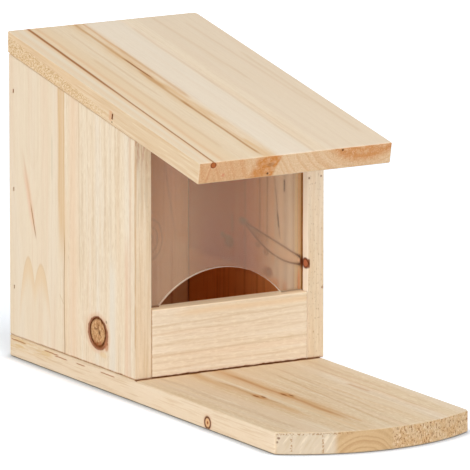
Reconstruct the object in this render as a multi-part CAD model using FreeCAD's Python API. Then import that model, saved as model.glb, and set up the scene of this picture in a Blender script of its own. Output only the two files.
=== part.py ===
import FreeCAD, Part
import math
import os

from FreeCAD import Placement, Rotation, Vector

# A squirrel feeder box: a small wooden box with a clear window, a long landing board
# and a sloping lid that swings up on two butt hinges at the back.
# Millimetres. +X is to the right as seen from the front, +Y is to the back, +Z is up.
# The origin is on the underside, at the centre of the whole object's plan.

# The box
box_width = 120.0
box_depth = 141.0
front_height = 133.0
wall_t = 10.5
lid_pitch_deg = 10.7

# The sill board under the window
sill_height = 38.0

# The landing board
base_t = 12.0
base_side_length = 292.0
base_nose = 18.5
base_skew = 5.0
base_inset_right = 2.0

# The lid board
lid_t = 12.0
lid_length = 215.5
lid_side_overhang = 0.5
lid_gap = 0.3

# Sanded arrises of every board
edge_ease = 0.5

# The pane and the saw kerfs in the side walls that hold it
kerf_setback = 5.5
kerf_width = 2.5
kerf_depth = 3.5
pane_t = 2.0
pane_side_play = 0.5
pane_head_gap = 0.8
arch_width = 78.0
arch_height = 18.0
arch_offset = -2.8

# Screw holes through the back wall, for a tree or a post
mount_hole_r = 2.5
mount_hole_spacing = 75.0
mount_hole_low = 60.0

# The butt hinges
hinge_length = 25.0
hinge_inset = 27.0
leaf_width = 9.0
leaf_t = 0.9
leaf_corner_r = 1.5
knuckle_r = 1.9
knuckle_count = 3
knuckle_end_gap = 0.15
knuckle_relief = 0.3
pin_r = 0.9
pin_play = 0.05

# The hinge screws, countersunk at 90 degrees
screw_head_r = 2.0
screw_shank_r = 1.1
screw_length = 9.0
screw_tip = 2.0
screw_spacing = 15.0
screw_play = 0.02

# The brads, flat wire nails with a narrow head driven just under the surface
brad_length = 25.0
brad_width = 1.2
brad_thickness = 1.0
brad_head_width = 2.0
brad_head_t = 0.7
brad_sink = 0.4
brad_play = 0.02
brad_end_margin = 8.0
back_brad_count = 3
back_brad_low = 28.0
back_brad_pitch = 55.5
base_brad_margin = 25.0

# Places that follow from the sizes
pitch = math.radians(lid_pitch_deg)
slope = math.tan(pitch)
half_width = box_width / 2
inner_half = half_width - wall_t
axis_offset = knuckle_r
hinge_proud = axis_offset + knuckle_r
base_width = box_width - base_inset_right
nose_chord = math.hypot(base_width, base_skew)
nose_r = (nose_chord ** 2 / 4 + base_nose ** 2) / (2 * base_nose)
nose_turn = math.atan2(base_skew, base_width)
nose_reach = nose_r - (nose_r - base_nose) * math.cos(nose_turn)
back_y = (base_side_length + nose_reach - hinge_proud) / 2
front_y = back_y - box_depth
corner_y = back_y - base_side_length
sill_top = base_t + sill_height
kerf_front_y = front_y + kerf_setback
kerf_middle_y = kerf_front_y + kerf_width / 2
back_middle_y = back_y - wall_t / 2
sill_middle_y = front_y + wall_t / 2


def wall_top(y):
    """Height of the box's sloping top edge at a place along Y."""
    return base_t + front_height + slope * (y - front_y)


lid_low_z = wall_top(back_y) + lid_gap / math.cos(pitch)
hinge_axis_y = back_y + axis_offset
hinge_axis_z = (wall_top(back_y) + lid_low_z) / 2


def prism(points, along):
    """Extrudes a closed outline of straight lines."""
    outline = Part.makePolygon(points + [points[0]])
    return Part.Face(outline).extrude(along)


def side_profile(points, x_low, x_high):
    """Extrudes an outline given as (y, z) pairs from x_low to x_high."""
    corners = [Vector(x_low, y, z) for y, z in points]
    return prism(corners, Vector(x_high - x_low, 0, 0))


def eased(board):
    """Takes the sharp arris off every edge of a board."""
    return board.makeChamfer(edge_ease, board.Edges)


def placed(shape, point, along, across):
    """Moves a shape built on +Z so that it points along one direction, with its X across."""
    turn = Rotation(across, along.cross(across), along, "ZXY")
    shape.Placement = Placement(point, turn)
    return shape


def brad(play=0.0):
    """A brad from its head at the origin down -Z. With play it is the slot that it leaves."""
    slot_top = brad_sink if play else 0.0
    head_w = brad_head_width + 2 * play
    head_d = brad_width + 2 * play
    shank_w = brad_width + 2 * play
    shank_d = brad_thickness + 2 * play
    head_low = -brad_head_t - play
    head = Part.makeBox(head_w, head_d, slot_top - head_low, Vector(-head_w / 2, -head_d / 2, head_low))
    shank_length = brad_length - brad_head_t
    shank = Part.makeBox(shank_w, shank_d, shank_length, Vector(-shank_w / 2, -shank_d / 2, head_low - shank_length))
    return head.fuse(shank).removeSplitter()


def brads_at(places, outward, across, play=0.0):
    """Brads, or their slots, at points on a face whose outward direction is given."""
    return [placed(brad(play), point - outward * brad_sink, outward, across) for point in places]


def screw(play=0.0):
    """A countersunk screw from its flat head at the origin down -Z, or with play its hole."""
    head_r = screw_head_r + play
    shank_r = screw_shank_r + play
    head_low = -(screw_head_r - screw_shank_r)
    tip_z = -screw_length - play
    outline = [
        Vector(0, 0, 0),
        Vector(head_r, 0, 0),
        Vector(shank_r, 0, head_low),
        Vector(shank_r, 0, tip_z + screw_tip),
        Vector(0, 0, tip_z),
    ]
    face = Part.Face(Part.makePolygon(outline + [outline[0]]))
    return face.revolve(Vector(0, 0, 0), Vector(0, 0, 1), 360)


def cut_all(body, tools):
    """Cuts a list of shapes out of a body."""
    return body.cut(Part.makeCompound(tools)) if tools else body


# Where the brads go

BACK_BRAD_HEIGHTS = [base_t + back_brad_low + i * back_brad_pitch for i in range(back_brad_count)]
SILL_BRAD_HEIGHTS = [base_t + brad_end_margin, sill_top - brad_end_margin]


def side_brad_places(side):
    """Points on one side wall's outer face, over the ends of the back wall and of the sill."""
    x = side * half_width
    back = [Vector(x, back_middle_y, z) for z in BACK_BRAD_HEIGHTS]
    sill = [Vector(x, sill_middle_y, z) for z in SILL_BRAD_HEIGHTS]
    return back + sill


def base_brad_places():
    """Points on the underside, below the middles of the four boards that stand on it."""
    wall_x = half_width - wall_t / 2
    cross_x = inner_half - base_brad_margin
    wall_ys = (front_y + base_brad_margin, back_y - base_brad_margin)
    under_walls = [Vector(side * wall_x, y, 0) for side in (-1, 1) for y in wall_ys]
    under_cross = [Vector(side * cross_x, y, 0) for side in (-1, 1) for y in (sill_middle_y, back_middle_y)]
    return under_walls + under_cross


def side_brads(side, play=0.0):
    """The brads of one side wall, driven inwards, with their heads lying along the grain."""
    return brads_at(side_brad_places(side), Vector(side, 0, 0), Vector(0, 0, 1), play)


def base_brads(play=0.0):
    """The brads driven up through the landing board."""
    return brads_at(base_brad_places(), Vector(0, 0, -1), Vector(0, 1, 0), play)


SLOTS = side_brads(-1, brad_play) + side_brads(1, brad_play) + base_brads(brad_play)


# The boards

def base_board():
    """The landing board: straight sides and a front end sawn to one shallow arc, a little askew."""
    left = -half_width
    right = left + base_width
    rear_left = Vector(left, back_y, 0)
    front_left = Vector(left, corner_y + base_skew / 2, 0)
    front_right = Vector(right, corner_y - base_skew / 2, 0)
    rear_right = Vector(right, back_y, 0)
    forward = Vector(-math.sin(nose_turn), -math.cos(nose_turn), 0)
    nose = (front_left + front_right) / 2 + forward * base_nose
    edges = [
        Part.LineSegment(rear_left, front_left).toShape(),
        Part.Arc(front_left, nose, front_right).toShape(),
        Part.LineSegment(front_right, rear_right).toShape(),
        Part.LineSegment(rear_right, rear_left).toShape(),
    ]
    board = Part.Face(Part.Wire(edges)).extrude(Vector(0, 0, base_t))
    return cut_all(eased(board), base_brads(brad_play))


def side_wall(side):
    """A side wall with its sloping top and the upright saw kerf for the pane."""
    outer = side * half_width
    inner = side * inner_half
    profile = [
        (front_y, base_t),
        (back_y, base_t),
        (back_y, wall_top(back_y)),
        (front_y, wall_top(front_y)),
    ]
    board = eased(side_profile(profile, min(outer, inner), max(outer, inner)))
    kerf_low_x = min(inner, inner + side * kerf_depth)
    kerf_length = wall_top(back_y) - base_t
    kerf = Part.makeBox(kerf_depth, kerf_width, kerf_length, Vector(kerf_low_x, kerf_front_y, base_t))
    return cut_all(board, [kerf] + side_brads(side, brad_play) + base_brads(brad_play))


def back_wall():
    """The back wall, between the side walls, with the hinge screws and two mounting holes."""
    inside_y = back_y - wall_t
    profile = [
        (inside_y, base_t),
        (back_y, base_t),
        (back_y, wall_top(back_y)),
        (inside_y, wall_top(inside_y)),
    ]
    board = eased(side_profile(profile, -inner_half, inner_half))
    heights = (base_t + mount_hole_low, base_t + mount_hole_low + mount_hole_spacing)
    holes = [
        Part.makeCylinder(mount_hole_r, wall_t, Vector(0, inside_y, z), Vector(0, 1, 0))
        for z in heights
    ]
    return cut_all(board, holes + SLOTS + hinge_screw_holes("wall"))


def front_sill():
    """The board below the window, between the side walls and flush with their fronts."""
    block = Part.makeBox(2 * inner_half, wall_t, sill_height, Vector(-inner_half, front_y, base_t))
    return cut_all(eased(block), SLOTS)


def window_pane():
    """The clear pane, standing on the sill in the two kerfs, with an arch cut in its foot."""
    width = 2 * (inner_half + kerf_depth - pane_side_play)
    front = kerf_middle_y - pane_t / 2
    height = wall_top(front) - pane_head_gap - sill_top
    pane = Part.makeBox(width, pane_t, height, Vector(-width / 2, front, sill_top))
    arch_r = (arch_width ** 2 / 4 + arch_height ** 2) / (2 * arch_height)
    centre = Vector(arch_offset, front, sill_top + arch_height - arch_r)
    return pane.cut(Part.makeCylinder(arch_r, pane_t, centre, Vector(0, 1, 0)))


def roof_lid():
    """The lid board: cut upright at the hinges and square to its slope at the front."""
    down_slope = Vector(0, -math.cos(pitch), -math.sin(pitch))
    through = Vector(0, math.sin(pitch), -math.cos(pitch))
    low_rear = Vector(0, back_y, lid_low_z)
    top_rear = Vector(0, back_y, lid_low_z + lid_t / math.cos(pitch))
    top_front = top_rear + down_slope * lid_length
    low_front = top_front + through * lid_t
    profile = [(p.y, p.z) for p in (low_rear, top_rear, top_front, low_front)]
    reach = half_width + lid_side_overhang
    board = eased(side_profile(profile, -reach, reach))
    return cut_all(board, hinge_screw_holes("lid"))


# The hinges
# A leaf is built with the pin axis on X, its plate along +Z and the wood on its -Y side.
# The wall leaf is then turned over, so that its plate hangs down.

HINGE_X = {"left": hinge_inset - half_width, "right": half_width - hinge_inset}
SCREW_U = (knuckle_r + knuckle_relief + leaf_width) / 2


def leaf_up(kind):
    """The direction from the pin axis along a leaf: up on the lid, down on the wall."""
    return 1 if kind == "lid" else -1


def screw_places(kind, middle_x):
    """Points on a leaf's outer face where its two screw heads lie."""
    y = hinge_axis_y - axis_offset + leaf_t
    z = hinge_axis_z + leaf_up(kind) * SCREW_U
    return [Vector(middle_x + side * screw_spacing / 2, y, z) for side in (-1, 1)]


def hinge_screws(kind, middle_x, play=0.0):
    """The two screws of a leaf, or with play the holes that they fill."""
    places = screw_places(kind, middle_x)
    return [placed(screw(play), point, Vector(0, 1, 0), Vector(1, 0, 0)) for point in places]


def hinge_screw_holes(kind):
    """The screw holes that both hinges need in one piece of wood."""
    return [hole for x in HINGE_X.values() for hole in hinge_screws(kind, x, screw_play)]


def knuckle_profile():
    """A rolled knuckle seen from its end: the strap runs straight in, then round the pin."""
    strap_face = leaf_t - knuckle_r
    meet = math.sqrt(knuckle_r ** 2 - strap_face ** 2)
    reach = knuckle_r + knuckle_relief
    start = Vector(0, -knuckle_r, 0)
    outer_end = Vector(0, -knuckle_r, reach)
    inner_end = Vector(0, strap_face, reach)
    on_curl = Vector(0, strap_face, meet)
    over = Vector(0, knuckle_r * math.sin(math.pi / 4), -knuckle_r * math.cos(math.pi / 4))
    edges = [
        Part.LineSegment(start, outer_end).toShape(),
        Part.LineSegment(outer_end, inner_end).toShape(),
        Part.LineSegment(inner_end, on_curl).toShape(),
        Part.Arc(on_curl, over, start).toShape(),
    ]
    return Part.Face(Part.Wire(edges))


def hinge_leaf(kind, middle_x):
    """One leaf with the knuckles that are its own: the outer ones on the wall, the rest on the lid."""
    half = hinge_length / 2
    low = knuckle_r + knuckle_relief
    plate = Part.makeBox(hinge_length, leaf_t, leaf_width - low, Vector(-half, -knuckle_r, low))
    corners = [e for e in plate.Edges if is_outer_corner(e)]
    leaf = plate.makeFillet(leaf_corner_r, corners)
    step = hinge_length / knuckle_count
    own = 0 if kind == "wall" else 1
    for index in range(own, knuckle_count, 2):
        start = -half + index * step + (knuckle_end_gap / 2 if index else 0)
        end = -half + (index + 1) * step - (knuckle_end_gap / 2 if index < knuckle_count - 1 else 0)
        curl = knuckle_profile().extrude(Vector(end - start, 0, 0))
        curl.translate(Vector(start, 0, 0))
        leaf = leaf.fuse(curl)
    bore = Part.makeCylinder(pin_r + pin_play, hinge_length, Vector(-half, 0, 0), Vector(1, 0, 0))
    leaf = leaf.cut(bore).removeSplitter()
    if kind == "wall":
        leaf = leaf.mirror(Vector(0, 0, 0), Vector(0, 0, 1))
    leaf.translate(Vector(middle_x, hinge_axis_y, hinge_axis_z))
    return cut_all(leaf, hinge_screws(kind, middle_x, screw_play))


def is_outer_corner(edge):
    """True for the two plate edges that run through its thickness at the free end."""
    ends = [v.Point for v in edge.Vertexes]
    across = abs(ends[0].y - ends[1].y) > leaf_t / 2
    return across and all(abs(p.z - leaf_width) < leaf_t / 2 for p in ends)


def hinge_pin(middle_x):
    """The pin, as long as the knuckles that it runs through."""
    start = Vector(middle_x - hinge_length / 2, hinge_axis_y, hinge_axis_z)
    return Part.makeCylinder(pin_r, hinge_length, start, Vector(1, 0, 0))


def build():
    """Every piece of the feeder by name."""
    parts = {
        "base_board": base_board(),
        "left_side_wall": side_wall(-1),
        "right_side_wall": side_wall(1),
        "back_wall": back_wall(),
        "front_sill": front_sill(),
        "window_pane": window_pane(),
        "roof_lid": roof_lid(),
        "left_wall_brads": Part.makeCompound(side_brads(-1)),
        "right_wall_brads": Part.makeCompound(side_brads(1)),
        "base_brads": Part.makeCompound(base_brads()),
    }
    for name, x in HINGE_X.items():
        parts[name + "_hinge_pin"] = hinge_pin(x)
        for kind in ("wall", "lid"):
            parts[f"{name}_hinge_{kind}_leaf"] = hinge_leaf(kind, x)
            parts[f"{name}_hinge_{kind}_screws"] = Part.makeCompound(hinge_screws(kind, x))
    return parts


os.makedirs("parts", exist_ok=True)
pieces = build()
for node, shape in pieces.items():
    shape.exportStep(f"parts/{node}.step")
    print(f"{node}: {len(shape.Solids)} solid, {shape.Volume / 1000:.2f} cm3, valid {shape.isValid()}")
whole = Part.makeCompound(list(pieces.values())).BoundBox
print(f"whole: {whole.XLength:.1f} x {whole.YLength:.1f} x {whole.ZLength:.1f} mm")
print(f"hinge axis: y {hinge_axis_y:.3f}, z {hinge_axis_z:.3f}")
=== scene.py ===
# %% [markdown]
# A squirrel feeder box, dressed
#
# The feeder is a small box of planed, untreated softwood: four walls, a long landing
# board, a clear window pane with an arch at its foot, and a lid on two butt hinges. The
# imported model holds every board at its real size. This lesson gives the boards their worn
# arrises and their grain, the pane its veil, and the hardware its steel.

# %% Load the frame
import math

import bmesh
import bpy
from mathutils import Matrix, Vector, noise


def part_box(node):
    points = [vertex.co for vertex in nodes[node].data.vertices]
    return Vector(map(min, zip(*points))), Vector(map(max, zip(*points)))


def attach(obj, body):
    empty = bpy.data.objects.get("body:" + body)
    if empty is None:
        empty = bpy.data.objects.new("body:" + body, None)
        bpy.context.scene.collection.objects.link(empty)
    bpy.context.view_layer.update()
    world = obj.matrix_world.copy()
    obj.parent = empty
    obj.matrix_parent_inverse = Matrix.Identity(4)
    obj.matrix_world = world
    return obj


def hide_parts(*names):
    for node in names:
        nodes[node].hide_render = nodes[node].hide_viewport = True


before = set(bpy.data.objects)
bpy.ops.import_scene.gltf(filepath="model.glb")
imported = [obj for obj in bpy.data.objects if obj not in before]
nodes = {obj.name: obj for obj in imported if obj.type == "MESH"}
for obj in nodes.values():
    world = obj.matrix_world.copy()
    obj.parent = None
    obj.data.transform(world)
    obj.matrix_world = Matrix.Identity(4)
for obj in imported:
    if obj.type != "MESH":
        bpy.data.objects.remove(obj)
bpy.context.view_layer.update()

MM = 0.001
X_AXIS = Vector((1, 0, 0))
Y_AXIS = Vector((0, 1, 0))
Z_AXIS = Vector((0, 0, 1))

# %% [markdown]
# The main sizes that the finishes need are read from the frame, so that they need not be
# kept in step with the model by hand. Only the lid's slope is written here. A box of a node
# gives two corners in metres, and what is worked out from them below is in millimetres.

# %% Measure the boards
def corners(node):
    """Lowest and highest corner of a CAD node, in millimetres."""
    low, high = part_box(node)
    return Vector(low) / MM, Vector(high) / MM


base_top = corners("base_board")[1].z
wall_low, wall_high = corners("left_side_wall")
inner_half = corners("back_wall")[1].x
sill_low, sill_high = corners("front_sill")
pane_low, pane_high = corners("window_pane")
lid_high = corners("roof_lid")[1]

front_y = wall_low.y
back_y = wall_high.y
half_width = -wall_low.x
wall_t = half_width - inner_half
room_depth = back_y - front_y - wall_t
lid_pitch = math.radians(10.7)
print(f"The box is {2 * half_width:.0f} mm wide and its walls are {wall_t:.1f} mm thick.")

# %% [markdown]
# The camera stands where the photograph was taken from: far away, to the left of the front
# and a little above, with a long lens. Its place and turn come from fitting the straight
# edges of the boards. It needs no shift, because the middle of the picture is its axis.

# %% Set up the camera
camera_place = Vector((-2307.6, -3916.2, 1005.9)) * MM
camera_yaw = math.radians(30.463)
camera_dip = math.radians(11.405)
camera_lens = 651.05

camera = bpy.data.objects.new("camera", bpy.data.cameras.new("camera"))
camera.data.sensor_width = 36.0
camera.data.lens = camera_lens
camera.data.clip_end = 30.0
camera.location = camera_place
looking = Vector((
    math.sin(camera_yaw) * math.cos(camera_dip),
    math.cos(camera_yaw) * math.cos(camera_dip),
    -math.sin(camera_dip),
))
camera.rotation_mode = "QUATERNION"
camera.rotation_quaternion = looking.to_track_quat("-Z", "Y")
bpy.context.collection.objects.link(camera)
bpy.context.scene.camera = camera
print("The camera looks along", [round(part, 3) for part in looking])

# %% [markdown]
# A material is a tree of nodes. It could be wired up node by node, but a tree is easiest to
# read as arithmetic. So one small class wraps an output socket and takes Python's signs,
# and then `1 - mask` adds a Math node by itself.

# %% Write node trees as expressions
class Socket:
    """An output of a node tree that stands in Python arithmetic."""

    def __init__(self, tree, output):
        self.tree = tree
        self.output = output

    def __abs__(self):
        return self.tree.maths("ABSOLUTE", self)


SIGNS = {"add": "ADD", "sub": "SUBTRACT", "mul": "MULTIPLY", "truediv": "DIVIDE"}
for sign, operation in SIGNS.items():
    def straight(self, other, operation=operation):
        return self.tree.maths(operation, self, other)
    def reflected(self, other, operation=operation):
        return self.tree.maths(operation, other, self)
    setattr(Socket, f"__{sign}__", straight)
    setattr(Socket, f"__r{sign}__", reflected)


print("A socket takes part in", ", ".join(SIGNS), "and abs.")

# %% [markdown]
# A pattern is made of masks. A mask is 1 where a mark is and 0 where it isn't, with a soft
# edge between, and a few functions make one from a number. Colours are written in the
# levels from 0 to 255 that a picture shows, but a socket wants them linear in light.

# %% Make masks and colours
def smooth(value, low, high):
    """0 at low and 1 at high, with a soft start and end. Low may be the larger."""
    ends = {"Value": value, "From Min": low, "From Max": high}
    return value.tree.node("ShaderNodeMapRange", {"interpolation_type": "SMOOTHSTEP"}, ends)


def bell(value, middle, reach):
    """1 at the middle, falling softly to 0 at its reach on both sides."""
    return smooth(abs(value - middle), reach, 0.0)


def span(value, low, high, soft):
    """1 between low and high, with soft ends outside them."""
    return smooth(value, low - soft, low) * smooth(value, high + soft, high)


def larger(first, second):
    """The larger of two sockets."""
    return first.tree.maths("MAXIMUM", first, second)


def distance(x, y):
    """How far a point is from zero, from its two coordinates."""
    square = x * x + y * y
    return square.tree.maths("SQRT", square)


def tone(colour):
    """Levels from 0 to 255 as the linear colour of a socket. Any other colour stays as it is."""
    def linear(level):
        level /= 255
        return level / 12.92 if level <= 0.04045 else ((level + 0.055) / 1.055) ** 2.4
    has_levels = isinstance(colour, tuple) and len(colour) == 3
    return (*map(linear, colour), 1.0) if has_levels else colour


print("A mid grey of 128 is", round(tone((128, 128, 128))[0], 3), "in a socket.")

# %% [markdown]
# One method makes every other node, from its type, its settings and its sockets. It serves
# the materials, the background, and the tree that sets the fasteners. A material is such a
# tree too, with short names for the nodes that its patterns use most.

# %% Add nodes by one method
class Nodes:
    """A node tree that is filled by one method."""

    def __init__(self, tree):
        self.tree = tree

    def node(self, kind, settings=None, values=None, output=0):
        """Adds a node, sets it up, fills or links its sockets, and returns one output."""
        made = self.tree.nodes.new(kind)
        for name, value in (settings or {}).items():
            setattr(made, name, value)
        for key, value in (values or {}).items():
            if isinstance(value, Socket):
                self.tree.links.new(value.output, made.inputs[key])
            else:
                made.inputs[key].default_value = value
        return Socket(self, made.outputs[output]) if made.outputs else None

    def maths(self, operation, *values):
        """A Math node on numbers and sockets."""
        return self.node("ShaderNodeMath", {"operation": operation}, dict(enumerate(values)))


class Finish(Nodes):
    """A material, with the few helpers that its patterns are written in."""

    def __init__(self, name):
        self.material = bpy.data.materials.new(name)
        self.material.use_nodes = True
        super().__init__(self.material.node_tree)
        self.tree.nodes.clear()

    def point(self):
        """The point that is being coloured, in metres."""
        return self.node("ShaderNodeTexCoord", output="Object")

    def part(self, vector, axis):
        """One of the three numbers of a vector."""
        return self.node("ShaderNodeSeparateXYZ", None, {0: vector}, axis)

    def vector(self, x, y, z):
        """Three numbers or sockets as one vector."""
        return self.node("ShaderNodeCombineXYZ", None, {0: x, 1: y, 2: z})

    def stretched(self, vector, factors):
        """A vector scaled along its axes, to draw a pattern out along the grain."""
        return self.node("ShaderNodeVectorMath", {"operation": "MULTIPLY"}, {0: vector, 1: factors})

    def facing(self, direction):
        """1 on a face that looks straight along a direction or against it, 0 square to it."""
        normal = self.node("ShaderNodeTexCoord", output="Normal")
        values = {0: normal, 1: direction}
        return abs(self.node("ShaderNodeVectorMath", {"operation": "DOT_PRODUCT"}, values, "Value"))

    def blend(self, first, second, share, how="MIX"):
        """One colour turned into another by a share, or multiplied by it."""
        settings = {"data_type": "RGBA", "clamp_factor": True, "blend_type": how}
        return self.node("ShaderNodeMix", settings, {0: share, 6: tone(first), 7: tone(second)}, 2)

    def layered(self, colour, *coats):
        """A colour under coats, each given as a tint and its share."""
        for tint, share in coats:
            colour = self.blend(colour, tint, share)
        return colour

    def cloud(self, vector, scale=1.0, detail=2.0, roughness=0.5):
        """Soft noise between 0 and 1 on a vector."""
        values = {"Vector": vector, "Scale": scale, "Detail": detail, "Roughness": roughness}
        return self.node("ShaderNodeTexNoise", None, values)

    def drift(self, along, scale, seed):
        """Slow noise between -1 and 1 along one number."""
        values = {"W": along * scale + seed, "Scale": 1.0, "Detail": 1.0}
        return (self.node("ShaderNodeTexNoise", {"noise_dimensions": "1D"}, values) - 0.5) * 2.0

    def shader(self, values, height=None, depth=None):
        """The main shader and the output, with a bump of a depth in metres where it is given."""
        if depth:
            values["Normal"] = self.node("ShaderNodeBump", None, {"Height": height, "Distance": depth})
        surface = self.node("ShaderNodeBsdfPrincipled", None, values)
        self.node("ShaderNodeOutputMaterial", None, {"Surface": surface})
        return self.material


print("Materials are made by", Finish.__name__, "and other trees by", Nodes.__name__ + ".")

# %% [markdown]
# The floor is plain and white. The photograph has a white background with only a thin
# soft shadow along the foot of the object. A floor that lights the wood plainly would look
# grey, and warm where the wood lights it in turn. So the camera and the mirror-like
# surfaces see another colour of it than the light does: brighter, a little cool, darker
# where something stands close above it, and with a glow that grows with the distance.
# None of that lights the object.

# %% Lay the floor
floor_size = 14.0
floor_drop = 0.3 * MM
floor_lights = (0.8, 0.8, 0.8, 1.0)
floor_shows = (1.22, 1.29, 1.38, 1.0)
floor_shade = (0.08, 0.065, 0.05, 1.0)
floor_glow = 0.10
shade_reach = 0.008
shade_power = 1.5
shade_samples = 8
glow_near = 0.5
glow_far = 2.5


def seen_directly(tree):
    """1 for rays that show the background itself: to the camera, or by gloss or glass."""
    def ray(name):
        return tree.node("ShaderNodeLightPath", output=name)
    either = ray("Is Camera Ray") + ray("Is Glossy Ray") + ray("Is Transmission Ray")
    return tree.maths("MINIMUM", either, 1.0)


def floor_finish():
    """Matt white that keeps the shadow, with a glow for the camera only."""
    finish = Finish("floor_white")
    seen = seen_directly(finish)
    near = finish.node("ShaderNodeAmbientOcclusion", {"samples": shade_samples},
                       {"Distance": shade_reach}, "AO")
    shown = finish.blend(floor_shade, floor_shows, finish.maths("POWER", near, shade_power))
    colour = finish.blend(floor_lights, shown, seen)
    matt = finish.node("ShaderNodeBsdfDiffuse", None, {"Color": colour})
    away = finish.node("ShaderNodeVectorMath", {"operation": "LENGTH"}, {0: finish.point()}, "Value")
    strength = seen * (smooth(away, glow_near, glow_far) + floor_glow)
    glow = finish.node("ShaderNodeEmission", None, {"Strength": strength})
    both = finish.node("ShaderNodeAddShader", None, {0: matt, 1: glow})
    finish.node("ShaderNodeOutputMaterial", None, {"Surface": both})
    return finish.material


def floor():
    """A flat square a hair below the object, so that no two faces share a plane."""
    mesh = bpy.data.meshes.new("floor")
    reach = floor_size / 2
    mesh.from_pydata(
        [(x * reach, y * reach, -floor_drop) for x, y in ((-1, -1), (1, -1), (1, 1), (-1, 1))],
        [], [(0, 1, 2, 3)],
    )
    mesh.materials.append(floor_finish())
    ground = bpy.data.objects.new("floor", mesh)
    bpy.context.collection.objects.link(ground)


floor()
print("The floor is", floor_size, "m wide.")

# %% [markdown]
# The background is white where it is seen, straight or in something glossy or clear. Where
# it lights the object it is only a weak fill, because a strong one would wash out the
# shadows of the lamps. The plain view transform shows a colour about as it is written.

# %% Set the background
world_fill = 0.25


def sky():
    """White where it is seen, and a weak even fill where it lights."""
    world = bpy.data.worlds.new("studio")
    world.use_nodes = True
    bpy.context.scene.world = world
    tree = Nodes(world.node_tree)
    tree.tree.nodes.clear()
    strength = seen_directly(tree) * (1.0 - world_fill) + world_fill
    white = tree.node("ShaderNodeBackground", None, {"Color": (1, 1, 1, 1), "Strength": strength})
    tree.node("ShaderNodeOutputWorld", None, {"Surface": white})


sky()
bpy.context.scene.view_settings.view_transform = "Standard"
print("The background lights with", world_fill, "of its white.")

# %% [markdown]
# The photograph shows where its lights stood. The back wall of the box is dark through the
# window while the front part of the right wall is bright inside, so one large soft light
# is far round to the left. The front edges are bright right up to the lid's overhang, so
# the side lights are low. A lamp's strength is given as the share of full brightness that
# it adds to a white card facing it, and its power follows from that and its distance.

# %% Hang the soft lights
aim_height = 0.09


def soft_light(name, azimuth, height, distance, size, share):
    """A square lamp that faces the box. Azimuth 0 is the front, and 90 the right side."""
    lamp = bpy.data.lights.new(name, "AREA")
    lamp.size = size
    lamp.energy = share * math.pi ** 2 * (distance ** 2 + height ** 2)
    light = bpy.data.objects.new(name, lamp)
    turn = math.radians(azimuth)
    light.location = (math.sin(turn) * distance, -math.cos(turn) * distance, height)
    aim = Vector((0.0, 0.0, aim_height)) - light.location
    light.rotation_euler = aim.to_track_quat("-Z", "Y").to_euler()
    bpy.context.collection.objects.link(light)


soft_light("left_light", azimuth=-70, height=0.45, distance=2.2, size=1.5, share=0.73)
soft_light("right_light", azimuth=52, height=0.40, distance=2.2, size=1.3, share=0.43)
soft_light("front_light", azimuth=-12, height=0.75, distance=2.2, size=1.6, share=0.08)
soft_light("top_light", azimuth=0, height=2.0, distance=1.15, size=1.6, share=0.44)
soft_light("back_light", azimuth=165, height=0.9, distance=2.2, size=1.6, share=0.32)
print("Five soft lights")

# %% [markdown]
# Softwood is pale, and what shows its grain is the growth rings. A board is a slice of a
# trunk, so the rings are worked out in the solid: the distance from the pith, which runs
# along the board's grain somewhere near it or inside it, gives the place between two
# rings. The same formula then draws cathedral arches on a flat-sawn face, straight lines
# on an edge and arcs on an end, and they meet at the arrises as they do on real timber.
# Each board has its own frame: a runs across it, b out of its face, and c along the grain,
# all in millimetres. The board also holds its colour so far, and everything that follows
# lays a coat on it: patches of noise, streaks along the grain, and small specks.

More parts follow.
